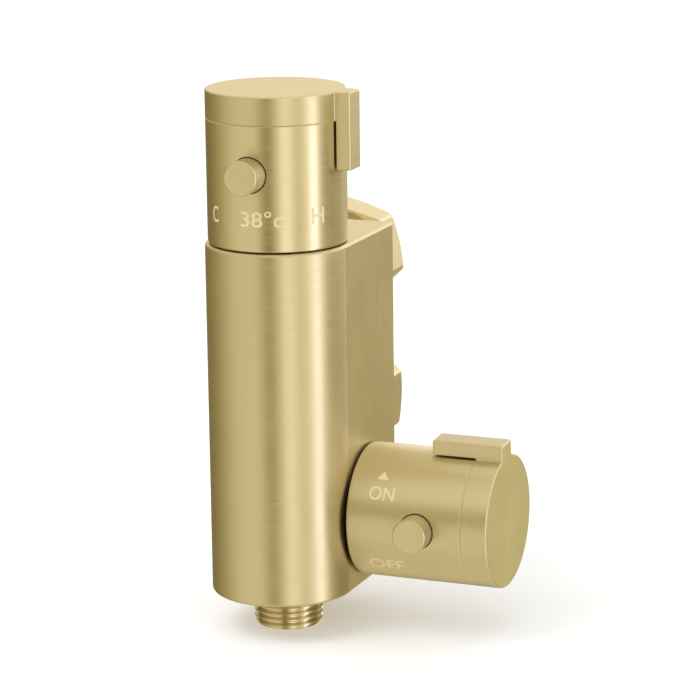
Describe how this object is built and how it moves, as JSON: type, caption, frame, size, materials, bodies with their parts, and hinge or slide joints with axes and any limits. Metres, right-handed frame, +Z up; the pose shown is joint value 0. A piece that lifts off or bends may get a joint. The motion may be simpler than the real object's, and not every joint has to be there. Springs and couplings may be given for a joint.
{
  "type": "thermostatic mixing valve",
  "caption": "Vertical brushed-brass mixing valve: half-round column, temperature knob on top, on/off knob at the side, two union-nut inlets behind and a threaded outlet below.",
  "frame": {"origin": "centre of the outlet nipple in the plane of the column's underside", "axes": "+Z up along the column, -Y towards the user, +Y to the wall and the inlets, +X to the on/off knob"},
  "size_m": [0.0886, 0.0893, 0.1653],
  "materials": {
    "column_brass": "brushed satin, pale gold",
    "knob_brass": "brushed satin, pale gold",
    "button_brass": "satin, pale gold",
    "nut_brass": "satin, pale gold",
    "outlet_brass": "bright turned brass",
    "inner_brass": "turned, uncoated",
    "carrier_plastic": "moulded",
    "cartridge_plastic": "moulded",
    "spring_steel": "bright wire",
    "screw_steel": "bright",
    "seal_rubber": "matt black",
    "washer_fibre": "matt grey",
    "disc_ceramic": "ground ceramic"
  },
  "bodies": {
    "valve": {"valve_body": "column_brass", "outlet_nipple": "outlet_brass", "outlet_seal": "seal_rubber", "mixing_sleeve": "cartridge_plastic", "sleeve_seals": "seal_rubber", "mixing_bonnet": "inner_brass", "return_spring": "spring_steel", "flow_headwork": "inner_brass", "headwork_seal": "seal_rubber", "fixed_disc": "disc_ceramic", "disc_seal": "seal_rubber", "temp_stop_ring": "carrier_plastic", "flow_stop_ring": "carrier_plastic", "upper_tail": "nut_brass", "upper_tail_seal": "seal_rubber", "upper_washer": "washer_fibre", "upper_check_housing": "cartridge_plastic", "upper_poppet_spring": "spring_steel", "lower_tail": "nut_brass", "lower_tail_seal": "seal_rubber", "lower_washer": "washer_fibre", "lower_check_housing": "cartridge_plastic", "lower_poppet_spring": "spring_steel"},
    "temp_knob": {"temp_barrel": "knob_brass", "temp_insert": "carrier_plastic", "temp_cap": "knob_brass", "temp_screw": "screw_steel", "temp_spindle": "inner_brass", "temp_circlip": "spring_steel", "temp_spindle_seal": "seal_rubber", "temp_button_spring": "spring_steel"},
    "temp_push": {"temp_button": "button_brass"},
    "traveller": {"traveller": "inner_brass", "overtravel_spring": "spring_steel"},
    "element": {"wax_element": "inner_brass", "mixing_spool": "cartridge_plastic"},
    "flow_knob": {"flow_barrel": "knob_brass", "flow_insert": "carrier_plastic", "flow_cap": "knob_brass", "flow_screw": "screw_steel", "flow_spindle": "inner_brass", "flow_circlip": "spring_steel", "flow_spindle_seal": "seal_rubber", "flow_button_spring": "spring_steel", "moving_disc": "disc_ceramic"},
    "flow_push": {"flow_button": "button_brass"},
    "upper_nut": {"upper_nut": "nut_brass"},
    "lower_nut": {"lower_nut": "nut_brass"},
    "upper_poppet": {"upper_poppet": "carrier_plastic"},
    "lower_poppet": {"lower_poppet": "carrier_plastic"}
  },
  "joints": [
    {"name": "temp_turn", "type": "hinge", "parent": "valve", "child": "temp_knob", "pos_m": [0, -0.0035, 0.13], "axis": [0, 0, 1], "range_deg": [-48, 48]},
    {"name": "temp_press", "type": "slide", "parent": "temp_knob", "child": "temp_push", "axis": [0, 1, 0], "range_m": [0, 0.003], "stiffness_N_per_m": 1200, "springref_m": -0.002, "deforming": ["temp_button_spring"]},
    {"name": "traveller_screw", "type": "slide", "parent": "valve", "child": "traveller", "axis": [0, 0, 1], "range_m": [-0.0017, 0.0017], "deforming": ["return_spring"]},
    {"name": "element_shift", "type": "slide", "parent": "traveller", "child": "element", "axis": [0, 0, 1], "range_m": [-0.001, 0.001], "stiffness_N_per_m": 6000, "deforming": ["overtravel_spring", "return_spring"]},
    {"name": "flow_turn", "type": "hinge", "parent": "valve", "child": "flow_knob", "pos_m": [0.04, 0.0119, 0.02305], "axis": [-1, 0, 0], "range_deg": [0, 90]},
    {"name": "flow_press", "type": "slide", "parent": "flow_knob", "child": "flow_push", "axis": [0, 1, 0], "range_m": [0, 0.003], "stiffness_N_per_m": 1200, "springref_m": -0.002, "deforming": ["flow_button_spring"]},
    {"name": "upper_nut_spin", "type": "hinge", "parent": "valve", "child": "upper_nut", "pos_m": [0, 0.052, 0.0933], "axis": [0, 1, 0], "continuous": true},
    {"name": "upper_poppet_lift", "type": "slide", "parent": "valve", "child": "upper_poppet", "axis": [0, -1, 0], "range_m": [0, 0.003], "stiffness_N_per_m": 60, "springref_m": -0.002, "deforming": ["upper_poppet_spring"]},
    {"name": "lower_nut_spin", "type": "hinge", "parent": "valve", "child": "lower_nut", "pos_m": [0, 0.052, 0.0471], "axis": [0, 1, 0], "continuous": true},
    {"name": "lower_poppet_lift", "type": "slide", "parent": "valve", "child": "lower_poppet", "axis": [0, -1, 0], "range_m": [0, 0.003], "stiffness_N_per_m": 60, "springref_m": -0.002, "deforming": ["lower_poppet_spring"]}
  ],
  "couplings": [
    {"joint": "traveller_screw", "follows": "temp_turn", "m_per_rad": -0.0019099}
  ]
}
